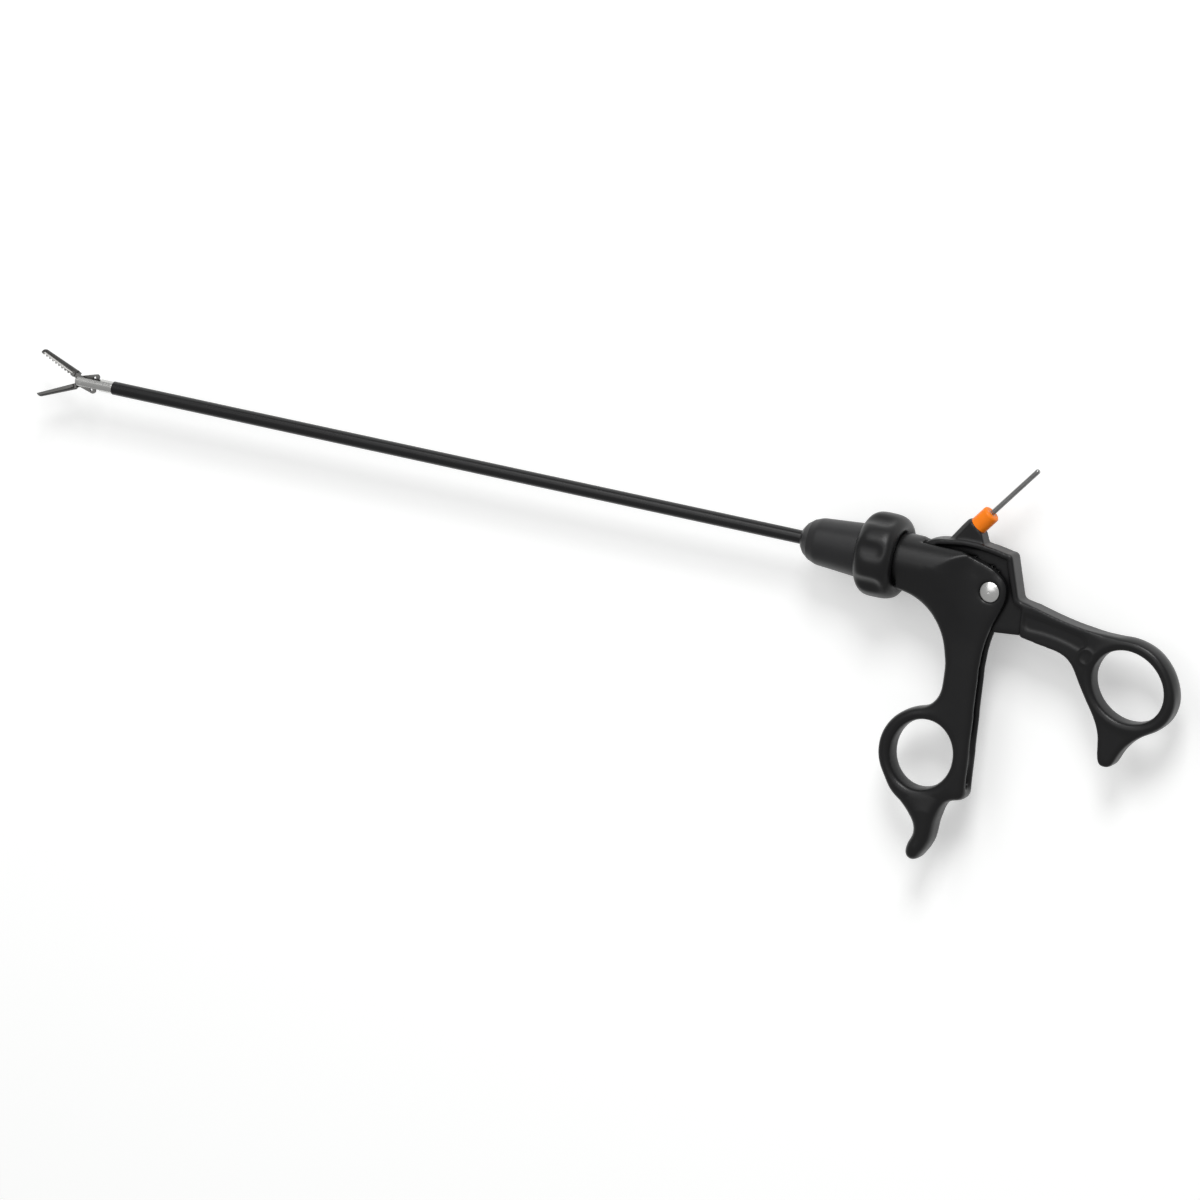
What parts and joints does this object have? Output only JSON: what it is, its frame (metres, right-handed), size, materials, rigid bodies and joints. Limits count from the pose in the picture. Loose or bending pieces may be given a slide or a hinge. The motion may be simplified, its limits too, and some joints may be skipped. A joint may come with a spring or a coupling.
{
  "type": "laparoscopic grasper",
  "caption": "Slender insulated surgical grasper: toothed hinged jaws on a long shaft, fluted rotation knob, fixed finger-ring handle, thumb-ring lever and angled contact pin.",
  "frame": {"origin": "middle of the shaft where it leaves the nose cone", "axes": "+X along the shaft to the handle, +Y to the side of the contact pin, +Z square to the plane of the handle"},
  "size_m": [0.4564, 0.1477, 0.031],
  "materials": {
    "moulding_black": "satin moulded black",
    "nose_black": "satin moulded, a little lighter",
    "sleeve_black": "satin heat-shrunk sleeve",
    "tube_steel": "brushed along the shaft",
    "bright_steel": "bright ground steel",
    "jaw_steel": "dark bead-blasted steel",
    "collar_orange": "orange moulded",
    "liner_white": "white low-friction plastic",
    "seal_rubber": "matt"
  },
  "bodies": {
    "root": {"finger_handle": "moulding_black", "pivot_screw": "bright_steel", "pivot_nut": "bright_steel", "journal_bush": "liner_white"},
    "lever": {"thumb_lever": "moulding_black", "ball_fork": "tube_steel", "contact_strip": "bright_steel", "contact_pin": "bright_steel", "pin_collar": "collar_orange", "pivot_bush": "liner_white"},
    "shaft": {"rotation_knob": "moulding_black", "nose_cone": "nose_black", "knob_hub": "moulding_black", "hub_retaining_ring": "bright_steel", "hub_o_ring": "seal_rubber", "knob_set_screw": "bright_steel", "outer_tube": "tube_steel", "insulation_sleeve": "sleeve_black", "rod_liner": "liner_white", "rod_seal": "seal_rubber", "clevis": "tube_steel", "jaw_pivot_pin": "bright_steel"},
    "rod": {"pull_rod": "bright_steel", "rod_ball": "bright_steel", "drive_blade": "jaw_steel", "drive_pin": "jaw_steel"},
    "upper_jaw_body": {"upper_jaw": "jaw_steel"},
    "lower_jaw_body": {"lower_jaw": "jaw_steel"}
  },
  "joints": [
    {"name": "lever_hinge", "type": "hinge", "parent": "root", "child": "lever", "pos_m": [0.0744, -0.004, 0], "axis": [0, 0, -1], "range_deg": [0, 28]},
    {"name": "shaft_turn", "type": "hinge", "parent": "root", "child": "shaft", "pos_m": [0, 0, 0], "axis": [1, 0, 0], "continuous": true},
    {"name": "rod_slide", "type": "slide", "parent": "shaft", "child": "rod", "axis": [1, 0, 0], "range_m": [0, 0.002]},
    {"name": "upper_jaw_hinge", "type": "hinge", "parent": "shaft", "child": "upper_jaw_body", "pos_m": [-0.2906, 0, 0], "axis": [0, 0, 1], "range_deg": [0, 24]},
    {"name": "lower_jaw_hinge", "type": "hinge", "parent": "shaft", "child": "lower_jaw_body", "pos_m": [-0.2906, 0, 0], "axis": [0, 0, -1], "range_deg": [0, 24]}
  ],
  "couplings": [
    {"joint": "rod_slide", "follows": "lever_hinge", "m_per_rad": 0.0040925},
    {"joint": "upper_jaw_hinge", "follows": "lever_hinge", "ratio": 0.85714},
    {"joint": "lower_jaw_hinge", "follows": "lever_hinge", "ratio": 0.85714}
  ]
}
